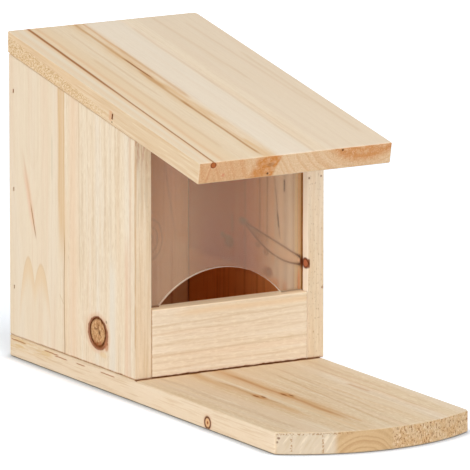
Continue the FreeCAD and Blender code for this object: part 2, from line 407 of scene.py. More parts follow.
# %% Cut the rings of a board
class Board(Finish):
    """The pattern of one board: its own coordinates in millimetres, its rings and colour."""

    def __init__(self, name, origin, across, along, pith, ring, seed):
        super().__init__(name)
        self.seed = seed
        self.colour = None
        turn = Matrix((across, along.cross(across), along)).transposed().to_euler()
        values = {"Location": origin * MM, "Rotation": turn, "Scale": (MM, MM, MM)}
        values["Vector"] = self.point()
        self.place = self.node("ShaderNodeMapping", {"vector_type": "TEXTURE"}, values)
        self.a, self.b, self.c = [self.part(self.place, axis) for axis in range(3)]
        self.rings(pith, ring)
        self.end, self.side = [smooth(self.facing(axis), 0.6, 0.85) for axis in (along, across)]

    def rings(self, pith, ring):
        """Sets the latewood share, from the distance to a pith that wanders along the grain."""
        pith_a, pith_b, lean_a, lean_b = pith
        wander_a = self.drift(self.c, 0.006, self.seed) * 6 + self.c * lean_a
        wander_b = self.drift(self.c, 0.009, self.seed + 7.3) * 3 + self.c * lean_b
        ripple = (self.grain(20, 83, detail=3) - 0.5) * 5
        off_a = self.a + ripple - pith_a - wander_a
        off_b = self.b + ripple * 0.4 - pith_b - wander_b
        self.radius = distance(off_a, off_b)
        uneven = self.drift(self.radius, 0.12, self.seed + 3.1) * ring * 0.9
        turns = (self.radius + uneven) / ring
        phase = self.maths("FRACT", turns)
        heavy = self.drift(turns, 0.37, self.seed + 11.7) * 0.5 + 0.6
        self.late = smooth(phase, 0.45, 0.93) * smooth(phase, 1, 0.95) * heavy
        self.year = self.drift(turns, 0.21, self.seed + 5.9)

    def grain(self, width, length, detail=2, roughness=0.5, shift=0):
        """Noise with features of a width across the grain and a length along it."""
        start = self.seed + shift
        scale = (1 / width, 1 / width, 1 / length)
        values = {0: self.place, 1: scale, 2: (start, start * 1.7, start * 0.6)}
        vector = self.node("ShaderNodeVectorMath", {"operation": "MULTIPLY_ADD"}, values)
        return self.cloud(vector, detail=detail, roughness=roughness)

    def patchy(self, width, length, low, high, **noise_values):
        """The same noise as a share: 0 at its low level and 1 at its high one."""
        return smooth(self.grain(width, length, **noise_values), low, high)

    def coat(self, tint, share):
        """Lays a colour over the colour so far."""
        self.colour = self.blend(self.colour, tint, share)

    def multiply_shade(self, tint, share):
        """Multiplies the colour so far by a tint, for painted shade, so that the grain shows through.
        """
        self.colour = self.blend(self.colour, tint, share, "MULTIPLY")

    def streak(self, tint, across, reach, start, end, share, lean=0, soft=10, wander=0.6):
        """A soft line along the grain between start and end. Lean turns it off the grain."""
        wave = self.drift(self.c, 0.03, self.seed + across) * wander
        line = bell(self.a + self.c * lean + wave, across, reach)
        self.coat(tint, line * span(self.c, start, end, soft) * share)

    def streaks(self, rows, **common):
        """A streak for every row of tint, across, reach, start, end, share, lean, soft and wander."""
        for row in rows:
            self.streak(*row, **common)

    def oval(self, across, along, width, length, grit=0.1, on_end=False):
        """Distance from the middle of a mark, 1 at its uneven rim. On an end, along is b."""
        off_a = (self.a - across) / (width / 2)
        off_c = ((self.b if on_end else self.c) - along) / (length / 2)
        uneven = (self.grain(2.9, 2.9, shift=across) - 0.5) * grit * 2
        return distance(off_a, off_c) + uneven

    def speck(self, tint, across, along, width, length, share=0.9, where=1, on_end=False):
        """A small spot with a soft rim."""
        rim = self.oval(across, along, width, length, on_end=on_end)
        self.coat(tint, smooth(rim, 1.2, 0.55) * where * share)

    def specks(self, rows, **common):
        """A speck for every row of tint, across, along, width, length and share."""
        for row in rows:
            self.speck(*row, **common)


print("A board's rings are a formula of the distance from its pith.")

# %% [markdown]
# The colour of the wood is laid on in the order in which one sees it: the pale ground and
# its slow drift to amber, the soft dark lines of the latewood, and then the fibres, from
# broad bands to short dark dashes. Cut ends drink more light: there the wood is darker
# and more orange, and speckled with open fibre ends. A coat of fibres is told by its width
# and length, two levels of its noise, its tint and its share. The inner faces are darkened
# and reddened by a multiplied tint, which is painted shade: the inside looks redder in the
# photograph than light that goes to and fro between pale boards would make it.

# %% Mix the colours of the wood
PALE = (238, 220, 194)
WHITE = (237, 224, 206)
CREAM = (248, 234, 210)
AMBER = (224, 190, 146)
OLIVE = (210, 185, 146)
LATE = (212, 180, 140)
FIBRE = (206, 176, 136)
ROSE = (233, 203, 174)
DASH = (152, 108, 64)
END_PALE = (224, 194, 154)
END_ORANGE = (196, 130, 70)
END_DARK = (150, 92, 46)
INDOOR_SHADE_ORANGE = (250, 176, 104)
UMBER = (150, 84, 50)
GAP_AND_SHADE = (104, 50, 4)
INSIDE_SHADE = (1.1, 0.78, 0.46, 1.0)
DEEP_INSIDE_SHADE = (1.15, 0.63, 0.26, 1.0)

FIBRES = {
    "brown lines": (2.3, 110, 0.5, 0.72, FIBRE, 0.42),
    "white lines": (2.7, 110, 0.5, 0.7, WHITE, 0.6),
    "fine lines": (1.2, 34, 0.5, 0.72, FIBRE, 0.45),
    "olive fuzz": (1, 5, 0.52, 0.68, OLIVE, 0.3),
    "pale fuzz": (0.9, 4, 0.5, 0.66, CREAM, 0.45),
    "short dashes": (0.8, 7, 0.66, 0.78, DASH, 0.3),
}
print("Over the rings lie", ", ".join(FIBRES) + ".")

# %% [markdown]
# Three functions lay these colours on. The planed faces come first, then the cut ends over
# them, and last the roughness and a faint bump of raised fibres, with open pits in the
# ends. Between these steps each board gets the marks of its own.

# %% Colour the wood
fibre_shift = 5.3
raised_depth = 0.14 * MM


def plane(board, lined=1, rings=0.4, warm=0.3, pale=PALE):
    """The planed faces of a board, before its own marks."""
    board.colour = board.blend(pale, AMBER, board.patchy(20, 150, 0.45, 0.8) * warm)
    board.coat(WHITE, smooth(board.year, 0, 0.6) * 0.6)
    board.coat(AMBER, smooth(board.year, -0.1, -0.7) * warm)
    board.coat(ROSE, board.patchy(7, 220, 0.5, 0.7) * 0.3)
    board.coat(LATE, board.late * rings)
    for index, (width, length, low, high, tint, share) in enumerate(FIBRES.values()):
        lines = board.patchy(width, length, low, high, shift=index * fibre_shift)
        board.coat(tint, lines * share * lined)


def cut_end(board, orange, pale=END_PALE, rings=0.7, grit=0.3):
    """The cut ends: ring lines, orange where it is given, and open fibre ends."""
    pores = board.grain(0.8, 0.8, roughness=0.7)
    board.coat(board.layered(
        pale,
        (END_ORANGE, orange),
        (END_ORANGE, board.late * rings),
        (END_DARK, smooth(pores, 0.5, 0.72) * grit),
        (CREAM, smooth(pores, 0.46, 0.3) * grit),
    ), board.end)


def wood(board, rough=0):
    """Ends the material of a board with its roughness and its raised grain."""
    raised = board.grain(0.6, 20, shift=2)
    pits = board.grain(0.8, 0.8, roughness=0.7)
    height = raised * 0.5 - board.late * 0.35 + pits * (board.end * 0.9 + rough)
    roughness = 0.68 + raised * 0.14 + board.end * 0.1
    values = {"Base Color": board.colour, "Roughness": roughness, "Specular IOR Level": 0.03}
    return board.shader(values, height, raised_depth)


print("The fibres' bump is", round(raised_depth / MM, 2), "mm deep.")

# %% [markdown]
# A knot is a branch cut across. Its bark makes a dark ring, thick where the branch is dead
# and loose. Inside is a light brown core with cracks, and round it a reddish halo where
# the grain bends. The coats are laid on from outside in, and the dark ring last.

# %% Draw a knot
KNOT_BARK = (162, 104, 74)
KNOT_CORE = (200, 152, 106)
KNOT_RING = (106, 54, 22)
KNOT_DARK = (72, 34, 10)
HALO = (222, 168, 126)
DARK_MARK = (112, 58, 22)
cracked_width = 10


def knot(board, across, along, width, length, where=1, on_end=False, core=KNOT_CORE, lift=0):
    """Halo, loose bark, core, cracks and the dark line, on the faces that where picks."""
    rim = board.oval(across, along, width, length, grit=0.06, on_end=on_end)
    inner = board.oval(across, along + lift, width * 0.74, length * 0.82, grit=0.05, on_end=on_end)
    inside = smooth(inner, 1.02, 0.95) * where
    bark = board.patchy(1.2, 1.6, 0.5, 0.66, detail=3, shift=21)
    board.coat(HALO, smooth(rim, 1.35, 1) * where * 0.45)
    board.coat(KNOT_BARK, smooth(rim, 1.03, 0.95) * where * 0.9)
    board.coat(KNOT_RING, bark * smooth(rim, 1.03, 0.97) * where * 0.5)
    board.coat(core, inside)
    if width > cracked_width:
        flecks = board.grain(1, 1.8, detail=3, roughness=0.75, shift=8)
        crack = bell(board.grain(1.7, 2.6, detail=3, shift=4), 0.5, 0.02)
        board.coat((238, 204, 156), smooth(flecks, 0.51, 0.64) * inside * 0.55)
        board.coat((150, 92, 50), smooth(flecks, 0.48, 0.36) * inside * 0.7)
        board.coat(KNOT_DARK, crack * smooth(inner, 0.9, 0.6) * where * 0.5)
    broken = board.patchy(2.6, 2.6, 0.36, 0.56, shift=13) * 0.4 + 0.6
    board.coat(KNOT_RING, bell(inner, 1, 0.2) * broken * where)
    board.coat(KNOT_DARK, bell(inner, 1, 0.1) * broken * where * 0.7)


print("A large knot is drawn in nine coats, and a small one in six.")

# %% [markdown]
# Every board's outline comes from the model, but its arrises there are flat chamfers. A
# real planed board has arrises that were run over with sandpaper: round, and not quite
# even. So the model's mesh is copied, its loose triangles are merged, the chamfers are
# bevelled round, and the board is sliced across its length, which gives the arrises points
# that a little noise pushes in. Everything moves inwards, so no board grows.

# %% Wear the arrises
arris_round = 0.22 * MM
slice_step = 5 * MM
wear_depth = 0.22 * MM
wear_size = 14 * MM
sharp_angle = math.radians(30)
flat_angle = math.radians(0.6)
flat_cosine = 0.95


def merged(node):
    """A bmesh of a CAD node with its triangles merged into flat faces."""
    bm = bmesh.new()
    bm.from_mesh(nodes[node].data)
    bmesh.ops.remove_doubles(bm, verts=bm.verts, dist=1e-6)
    bmesh.ops.dissolve_limit(bm, angle_limit=flat_angle, verts=bm.verts, edges=bm.edges)
    return bm


def sharp_edges(bm):
    """The edges that two faces of clearly different slope share."""
    return [e for e in bm.edges if len(e.link_faces) == 2 and e.calc_face_angle() > sharp_angle]


def rounded(bm, reach):
    """Bevels every sharp edge."""
    bmesh.ops.bevel(bm, geom=sharp_edges(bm), offset=reach, segments=2, affect="EDGES", profile=0.5,
                    offset_type="OFFSET", clamp_overlap=True)


def split(bm, point, slope, **how):
    """Cuts a mesh by a plane and returns the edges of the cut."""
    geometry = bm.verts[:] + bm.edges[:] + bm.faces[:]
    done = bmesh.ops.bisect_plane(bm, geom=geometry, dist=1e-7, plane_co=point, plane_no=slope, **how)
    return [part for part in done["geom_cut"] if isinstance(part, bmesh.types.BMEdge)]


def sliced(bm, along):
    """Cuts a board by planes across its length, at even steps."""
    reach = [vert.co.dot(along) for vert in bm.verts]
    start, length = min(reach), max(reach) - min(reach)
    count = int(length / slice_step)
    for index in range(1, count):
        split(bm, along * (start + length * index / count), along)


def worn(bm, shift):
    """Pushes the points near the arrises in, by noise and never outwards."""
    bm.normal_update()
    moves = {}
    for vert in bm.verts:
        slopes = [face.normal for face in vert.link_faces]
        if min(slopes[0].dot(other) for other in slopes) <= flat_cosine:
            depth = noise.noise(vert.co / wear_size + Vector((shift, 0, 0))) * 0.5 + 0.5
            moves[vert] = -vert.normal * wear_depth * depth
    for vert, move in moves.items():
        vert.co += move


print("Arrises are rounded by", arris_round / MM, "mm and worn by up to", wear_depth / MM, "mm.")

# %% [markdown]
# A finished mesh becomes a piece in the same few steps each time. It is smoothed up to its
# creases, the nodes of the model that it stands for are hidden, and it is attached to the body
# it moves with. Smooth light would bend over the whole of a flat face with small round ones
# beside it, so a Weighted Normal modifier keeps the large faces flat.

# %% Hand a piece over
crease_angle = math.radians(50)


def hand_over(made, body, replaced, crease):
    """Smooths a piece up to its creases, hides the nodes it stands for, and attaches it to its body."""
    for face in made.data.polygons:
        face.use_smooth = True
    made.data.set_sharp_from_angle(angle=crease)
    bpy.context.collection.objects.link(made)
    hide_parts(*replaced)
    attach(made, body)
    print(f"{made.name}: {len(made.data.polygons)} faces")


def made_object(name, bm, body, material, replaced):
    """Makes a bmesh an object that stands for CAD nodes."""
    mesh = bpy.data.meshes.new(name)
    bm.to_mesh(mesh)
    bm.free()
    mesh.materials.append(material)
    made = bpy.data.objects.new(name, mesh)
    flats = made.modifiers.new("keep_flats_flat", "WEIGHTED_NORMAL")
    flats.keep_sharp = True
    flats.weight = 80
    hand_over(made, body, replaced, crease_angle)


print("Boards and hinges stay sharp over", round(math.degrees(crease_angle)), "degrees.")

# %% [markdown]
# A board is merged, rounded, sliced and worn, in this order. Two steps can follow the
# merging: the slots over the sill's brads are closed in the walls, because the heads are
# under filler there, and a plane cuts a chip off a corner.

# %% Dress a board
slot_half_width = 1.1 * MM
slot_depth = 1.2 * MM


def fill_front_slots(bm):
    """Closes the slots over the sill's brads, whose heads are filled and rubbed flush."""
    middle = (sill_low.y + sill_high.y) / 2 * MM
    def in_slot(vert):
        near = abs(vert.co.y - middle) < slot_half_width
        return near and abs(vert.co.x) > half_width * MM - slot_depth
    pocket = [face for face in bm.faces if all(in_slot(vert) for vert in face.verts)]
    bmesh.ops.delete(bm, geom=pocket, context="FACES")
    bmesh.ops.holes_fill(bm, edges=[edge for edge in bm.edges if edge.is_boundary])


def dressed_board(name, node, body, slot_name, material, along, chip=None):
    """A board of the model with rounded and worn arrises and its own wood."""
    bm = merged(node)
    if slot_name == "wall_wood":
        fill_front_slots(bm)
    if chip:
        point, slope = chip
        bmesh.ops.holes_fill(bm, edges=split(bm, point, slope, clear_outer=True))
    rounded(bm, arris_round)
    sliced(bm, along)
    worn(bm, len(name))
    made_object(name, bm, body, material, [node])


print("A dressed board is sliced about every", round(slice_step / MM), "mm.")

# %% [markdown]
# The lid shows most of all. Its pith lay above its right half, so the rings cross its front
# end as arcs that open upwards, and the orange years among them come out on its top as a
# streaked band. A thin pitch line runs from the little knot at the front corner to the
# back. Its sides were sawn and not planed, which leaves them rough towards the rear. The
# marks could be painted in a picture, but that is sharp at one distance only. Here each is
# a streak with a place across the board and a start and an end along it.

# %% Draw the marks of the lid
def fan(board, across, depth):
    """Reddish and olive rays under the little knot on the lid's end."""
    near = smooth(board.oval(across - 1.5, depth - 4, 15, 15, on_end=True), 1.1, 0.4) * board.end
    slant = (board.a - across) / (board.b - depth - 4)
    ray = board.cloud(board.vector(slant * 6, 0, 0))
    board.coat((196, 130, 84), smooth(ray, 0.48, 0.62) * near * 0.5)
    board.coat((236, 200, 154), smooth(ray, 0.46, 0.34) * near * 0.5)


def sawn(board):
    """The lid's sawn sides: dense grit at the rear and below, and long soft strokes in front."""
    tide = board.patchy(5, 60, 0.42, 0.62, detail=3, shift=9)
    strokes = board.grain(1.2, 24, shift=6)
    rough = smooth(board.b + board.c * 0.04, -1.8, -3.4) * smooth(board.c, 135, 80)
    fleck = board.grain(0.62, 0.95, roughness=0.8, shift=3)
    board.coat(board.layered(
        (226, 201, 167),
        ((220, 190, 152), tide * 0.6),
        ((232, 201, 162), smooth(board.c, 150, 60) * 0.7),
        ((212, 176, 136), smooth(strokes, 0.5, 0.68) * 0.4),
        (CREAM, smooth(strokes, 0.46, 0.32) * 0.28),
        ((226, 192, 144), rough * 0.6),
        ((172, 120, 64), smooth(fleck, 0.51, 0.64) * rough * 0.6),
        (CREAM, smooth(fleck, 0.48, 0.36) * rough * 0.7),
    ), board.side)
    left = smooth(board.a, -50, -55) * board.side
    nick = span(board.c, 120.3, 121.5, 0.3) * span(board.b, -8.6, -5.6, 0.3)
    board.coat(HALO, bell(board.c, 119, 3) * span(board.b, -9.5, -5, 1) * left * 0.7)
    board.coat(DARK_MARK, nick * left)
    board.coat(DARK_MARK, bell(board.c, 121, 0.9) * bell(board.b, -10.3, 0.8) * left)
    return rough * board.side


def lid_top_marks(board):
    """The bands and lines of the lid's top, from its left side to its right."""
    board.coat((233, 213, 184), smooth(board.a, -46, -50) * 0.7)
    board.coat((232, 205, 168), span(board.a, -46, -38, 4) * 0.7)
    board.coat((232, 210, 178), span(board.a, -37, -22, 5) * 0.5)
    board.coat(WHITE, span(board.a, -9, 8, 5) * 0.6)
    board.coat((229, 210, 186), smooth(board.a, 14, 26) * 0.55)
    broken = board.patchy(5, 40, 0.38, 0.6, detail=3, shift=17) * 0.6 + 0.4
    band = bell(board.a + board.drift(board.c, 0.02, 5) * 2, -18, 9) * broken
    board.coat((222, 184, 136), band * 0.8)
    board.streaks((
        ((200, 150, 96), -18.2, 1.7, -10, 100, 0.7, 0.01),
        ((150, 84, 28), -18.7, 0.9, 64, 84, 0.9),
        ((194, 142, 88), -20.6, 1.7, 84, 132, 0.6),
        ((184, 128, 72), -21.3, 1.4, 132, 205, 0.8, -0.004),
        ((204, 152, 100), -13.4, 2, 50, 116, 0.5),
        ((212, 160, 110), -13.2, 1.4, -5, 44, 0.6),
        ((214, 174, 126), -36, 2, 60, 190, 0.35),
        ((208, 172, 130), -29, 1.4, 20, 110, 0.3),
        ((222, 176, 128), -43, 2.4, -5, 210, 0.4, 0.012),
        ((234, 192, 142), -49.6, 2.4, -10, 225, 0.4, 0.018),
        (WHITE, -52.8, 2.6, 0, 225, 0.35, 0.01),
        ((234, 202, 162), -57, 3, -10, 225, 0.35),
        ((216, 184, 146), 31, 1.8, 0, 100, 0.3, -0.03),
        ((214, 180, 140), 45, 1.6, 20, 140, 0.25, -0.03),
        ((214, 182, 144), 52, 2, 70, 190, 0.3),
        ((218, 190, 156), 11, 1.6, 20, 215, 0.4),
    ))
    board.streak((156, 88, 28), -47.9, 1.7, -10, 70, 0.95, lean=0.018, wander=0.2, soft=60)
    board.streak((174, 114, 58), -47.9, 1.05, -10, 217, 0.95, lean=0.018, wander=0.2)


print("The lid's marks are placed in mm from its middle line and its rear edge.")

# %% [markdown]
# The lid's front end shows the rings best. Its orange years are a slanting band across the
# end, and those that lie nearest to the pith. The rear right corner is chipped, and a
# slanting plane cuts it away before the arrises are rounded.

# %% Finish the lid
down_slope = Vector((0, -math.cos(lid_pitch), -math.sin(lid_pitch)))


def lid_wood():
    """The lid: a is X, and c runs down the slope from the rear."""
    board = Board("lid_wood", Vector((0, back_y, lid_high.z)), X_AXIS, down_slope,
                  pith=(41, 25, 0.005, 0), ring=4.6, seed=3)
    busy = smooth(board.a, 12, -25) * 0.2 + 0.36
    plane(board, lined=busy, rings=0.15, warm=0.25, pale=(240, 222, 196))
    lid_top_marks(board)
    rough = sawn(board)
    slant = board.a - board.b * 0.5
    blotch = board.patchy(2.6, 2.6, 0.3, 0.6, detail=3, shift=1) * 0.45 + 0.55
    orange = smooth(slant, -27, -20) * smooth(slant, -7.5, -9.5)
    near_top = smooth(board.radius, 37, 31)
    left_end = smooth(board.a, -20, -36) * 0.4
    years = larger(larger(orange, near_top * 0.8) * blotch, left_end)
    cut_end(board, years, pale=(217, 186, 150), rings=0.42, grit=0.26)
    front = board.end * smooth(board.c, 100, 110)
    fan(board, -52, -2)
    knot(board, -51.7, -1.7, 3.9, 3.6, where=front, on_end=True, core=(172, 98, 56))
    board.specks((
        ((206, 116, 88), -45, -8, 2, 2.2, 0.5),
        (KNOT_DARK, -17.2, -9.9, 1.5, 1.5),
        (KNOT_DARK, 29.2, -1.1, 1.4, 1.4),
        (END_DARK, -15.6, -5, 5, 2.6, 0.5),
    ), where=front, on_end=True)
    return wood(board, rough * 0.9)


chip_place = Vector((lid_high.x - 1.9, back_y, 0)) * MM
chip_slope = Vector((3.5, 1.9, 0)).normalized()
dressed_board("lid_board", "roof_lid", "lid", "lid_wood", lid_wood(), down_slope,
              chip=(chip_place, chip_slope))

# %% [markdown]
# The walls stand with their grain upright. Both side walls show a front edge of soft close
# lines. They and the sill meet the landing board in a dark joint, which is partly painted
# contact shadow. A joint between real boards is never quite even, so noise moves its upper rim.

# %% Draw the front edges and the joints
gap_lift = 0.2


def front_edge(board, speckled=0):
    """The front edges of a side wall: soft close lines, grey-green bands, open pores, and painted shade
    towards the foot.
    """
    for tint, share in (
        ((214, 186, 148), board.patchy(1.6, 50, 0.46, 0.68, shift=8) * 0.7),
        ((222, 208, 184), board.patchy(3, 30, 0.48, 0.66, shift=12) * 0.6),
        (DASH, board.patchy(1, 1.6, 0.62, 0.74, detail=1, shift=14) * (speckled * 0.6 + 0.12)),
        ((214, 186, 150), smooth(board.c, 110, 30) * 0.4),
    ):
        board.coat(tint, share * board.side)


def bottom_gap_and_shade(board, height, thick=0.85, heavy=0.95, ragged=2):
    """The dark joint and painted contact shadow under a board that stands on the landing board, not
    quite even.
    """
    edge = height + gap_lift + (board.grain(6, 6, shift=33) - 0.5) * ragged
    board.coat((190, 112, 40), smooth(edge, thick * 2, thick * 0.9) * heavy * 0.5)
    board.coat(GAP_AND_SHADE, smooth(edge, thick * 1.15, thick * 0.75) * heavy)


print("A joint is a dark line about half a millimetre high.")

# %% [markdown]
# The left wall faces the light, and carries the marks that make this box this box: an amber
# streak, a thin dark line, a twin arch of rings low at the rear, and a large dead knot. Its
# front half is closely lined, its rear smooth. The twin arch is two parabolas, because the
# pattern of the rings wouldn't put it there.

# %% Draw the marks of the left wall
def arch(board, top_a, top_c, slope):
    """How far a point lies below one cathedral arch of the rings."""
    off = board.a - top_a
    return off * off * -slope + top_c - board.c


def left_wall_marks(board):
    """The streaks and lines of the left wall, from its front to its rear."""
    board.streaks((
        ((228, 190, 156), 9, 4, -5, 60, 0.55, 0, 25),
        ((218, 180, 142), 5.2, 1.8, -5, 135, 0.45),
        ((230, 224, 212), 25, 6, -5, 50, 0.45, 0, 20),
        ((208, 176, 136), 61.6, 0.9, 55, 140, 0.55),
        ((238, 208, 176), 68, 9, 10, 170, 0.6, 0, 30),
        (AMBER, 81.6, 5.6, 76, 170, 0.8, 0, 30, 0.8),
        ((218, 178, 126), 84, 1.8, 90, 170, 0.5, 0, 20, 0.8),
        ((214, 172, 118), 78.6, 1.2, 66, 170, 0.6, 0, 14, 0.8),
        ((234, 204, 166), 76.5, 3.5, -5, 80, 0.45, 0, 20),
        ((168, 122, 76), 78.5, 0.85, -5, 59, 0.75, 0, 14, 0.5),
        ((206, 190, 160), 92, 1.1, 100, 116, 0.5, 0, 8, 0.3),
        ((236, 192, 160), 93.6, 4.6, 72, 88, 0.55, -0.3, 14, 0.2),
        ((214, 172, 130), 91.2, 2, 72, 96, 0.35, -0.319, 16, 0.2),
        ((164, 112, 62), 91.2, 0.95, 64, 74, 0.8, -0.319, 6, 0.2),
    ))


print("The left wall's marks are placed in mm from its front edge and its foot.")

# %% [markdown]
# Its knot is dead, loose and cracked, so small specks of bark and light are laid on and
# round it. They are placed one by one, because chance alone wouldn't make this knot.

# %% Finish the left wall
def left_wall_wood():
    """The left wall: a runs to the back from the front edge, and b out to the left."""
    board = Board("left_wall_wood", Vector((-half_width, front_y, base_top)), Y_AXIS, Z_AXIS,
                  pith=(112, -46, 0.02, 0.04), ring=2.3, seed=11)
    plane(board, lined=smooth(board.a, 92, 70) * 0.5 + 0.22, rings=0.12, warm=0.2)
    left_wall_marks(board)
    twin = larger(arch(board, 119.2, 48.2, 0.3), arch(board, 104.8, 46.4, 0.24))
    high = smooth(board.c, 0, 40)
    board.coat((231, 199, 156), smooth(twin, -0.8, 2) * smooth(twin, 20, 4) * high * 0.6)
    board.coat((220, 186, 142), bell(twin, 0.8, 1.8) * high * 0.35)
    scratch = bell(board.a - board.c * 0.9, 54, 1) * span(board.c, 29, 32, 2)
    board.coat((196, 168, 124), scratch * 0.4)
    knot(board, across=41, along=18.8, width=22.6, length=19, lift=0.7)
    board.specks((
        ((124, 66, 26), 41, 12, 13, 4.4, 0.55),
        (KNOT_RING, 41, 22.4, 1.3, 4.6, 0.7),
        (KNOT_RING, 43.4, 21, 3.6, 1.3, 0.6),
        (KNOT_DARK, 39.6, 19.4, 2, 2.6, 0.75),
        ((176, 106, 72), 38.4, 13.8, 3, 2.2, 0.7),
        ((160, 84, 50), 41.6, 12.6, 2.4, 2, 0.7),
        ((176, 106, 72), 44.6, 13.8, 2.6, 2.4, 0.6),
        ((192, 126, 88), 31.6, 13, 4.6, 6.4, 0.6),
        ((150, 84, 44), 30.6, 14.6, 1.6, 2, 0.7),
        ((232, 200, 150), 35, 7.6, 8, 3.4, 0.5),
        (DARK_MARK, 31.7, 26.6, 2, 2, 0.5),
    ))
    front_edge(board)
    # A darker, broken line along the front arris of the outer face.
    corner = smooth(board.a, 1, 0.2) * smooth(board.b, -1.2, -0.2)
    arris_line_breaks = board.patchy(3, 18, 0.36, 0.56, shift=27) * 0.7 + 0.3
    board.coat((192, 148, 98), corner * arris_line_breaks * 0.6)
    red_patch = board.patchy(2.4, 9, 0.45, 0.6, shift=5)
    board.coat((196, 130, 88), red_patch * board.side * smooth(board.c, 112, 132) * 0.6)
    outside = smooth(board.b, -1, -0.4)
    faint = smooth(board.a, 130, 60) * outside * 0.5 + 0.4
    bottom_gap_and_shade(board, board.c, thick=0.75, heavy=faint, ragged=0.9)
    # Painted shade: the hidden inner face is darkened and reddened by a multiplied tint.
    inside = smooth(board.b, -wall_t + 0.6, -wall_t + 0.2) * span(board.a, 8, room_depth, 0.5)
    board.multiply_shade(INSIDE_SHADE, inside)
    cut_end(board, 0.3)
    return wood(board)


dressed_board("left_wall_board", "left_side_wall", "box", "wall_wood", left_wall_wood(), Z_AXIS)

# %% [markdown]
# The right wall shows its inner face through the pane, with the one spectacular thing in
# this box: a branch that was sawn along its length. It starts at a knot beside the pane and
# lies in the wood as a long pale leaf between two dark lines, with a blue-grey tip. Its
# upper line is straight and its lower one a parabola, and the leaf is what lies between.

# %% Draw the sawn branch
def sawn_branch(board, inside):
    """The leaf of a branch on the inner face, from the knot up to its blurred tip."""
    upper = board.c - board.a * 0.155 - 54.7
    dip = board.a - 22
    lower = board.c - dip * dip * 0.0065 - 50.8
    reach = span(board.a, 5, 66, 2) * inside
    between = smooth(upper, 0.3, -0.5) * smooth(lower, -0.3, 0.5) * reach
    board.coat((253, 214, 174), between * smooth(board.a, 50, 22) * 0.85)
    board.coat((128, 100, 74), between * smooth(board.a, 40, 62) * 0.7)
    tip = smooth(board.oval(70, 65.6, 11, 5, grit=0.3), 1.4, 0.2) * inside
    board.coat((112, 108, 92), tip * 0.75)
    rooted = smooth(board.a, 16, 7) * reach
    for line, width in ((upper, 1), (lower, 0.9)):
        broken = board.patchy(3, 3, 0.3, 0.5, shift=width * 50) * 0.4 + 0.45
        board.coat((156, 84, 34), bell(line, 0, 2.2) * reach * 0.3)
        board.coat((96, 42, 12), bell(line, 0, width) * reach * broken)
        board.coat((60, 14, 0), bell(line, 0, 1.8) * rooted * 0.9)


print("The branch is a leaf between a straight line and a parabola.")

# %% [markdown]
# Round the branch the inner face is striped along the grain, paler beside the pane than
# further in, which is partly painted light and shade, with a few stains. Its streaks are laid
# on as if they ran through the whole board, and one blend then keeps them on the inner face.

# %% Draw the lines of the inner face
def inner_marks(board, inside):
    """The pale and dark lines of the right wall's inner face, and its stains."""
    plain = board.colour
    board.streaks((
        ((230, 176, 112), 9.4, 3.2, -5, 160, 0.85),
        ((252, 222, 162), 12.6, 2.8, -5, 160, 0.8),
        ((196, 134, 68), 15.4, 1, -5, 160, 0.3),
        ((255, 236, 206), 19.5, 4.6, -5, 160, 0.95),
        ((255, 226, 190), 29, 5, 30, 160, 0.8),
        ((250, 196, 150), 38, 3.6, 50, 160, 0.7),
        ((248, 162, 106), 9.4, 3, -5, 44, 0.7),
        (UMBER, 52, 2, 66, 140, 0.5),
        (UMBER, 44, 1.6, 60, 140, 0.5),
        ((222, 140, 96), 60, 4, 40, 140, 0.4),
        (UMBER, 68, 2.4, 40, 140, 0.4),
        ((214, 132, 88), 76, 4, 40, 140, 0.4),
    ), soft=6)
    board.streaks((
        ((150, 84, 32), 18.4, 1.8, 63, 96, 0.35, -0.184),
        ((96, 48, 16), 18.4, 0.9, 65, 90, 0.35, -0.184),
        ((40, 12, 2), 18.4, 1.4, 69.5, 75.5, 0.95, -0.184),
        ((90, 46, 16), 25.4, 2, 90, 96, 0.4),
        ((48, 18, 4), 25.4, 1.2, 91, 95.5, 0.9),
    ), soft=1.5)
    board.colour = board.blend(plain, board.colour, inside)
    board.specks((
        ((104, 86, 62), 85.5, 51.4, 12, 8, 0.62),
        ((120, 96, 70), 92, 54, 7, 4, 0.5),
        ((150, 100, 70), 82, 62, 4, 16, 0.4),
        ((184, 96, 34), 43, 41.5, 12, 6.4, 0.85),
        ((150, 70, 20), 42, 42, 6.4, 4.4, 0.85),
        (UMBER, 45, 52.3, 6.4, 4.4, 0.6),
        ((130, 84, 50), 54, 55, 7, 3.6, 0.5),
    ), where=inside)


print("The inner face's marks are placed in mm from the wall's front edge and its foot.")

# %% [markdown]
# The outer face is calm. Beside the pane one sees the front edge with three dark spots,
# the kerf that holds the pane, and in the kerf the root of the knot. Masks across the wall
# and along it pick each of these faces, so that one material serves the whole board.

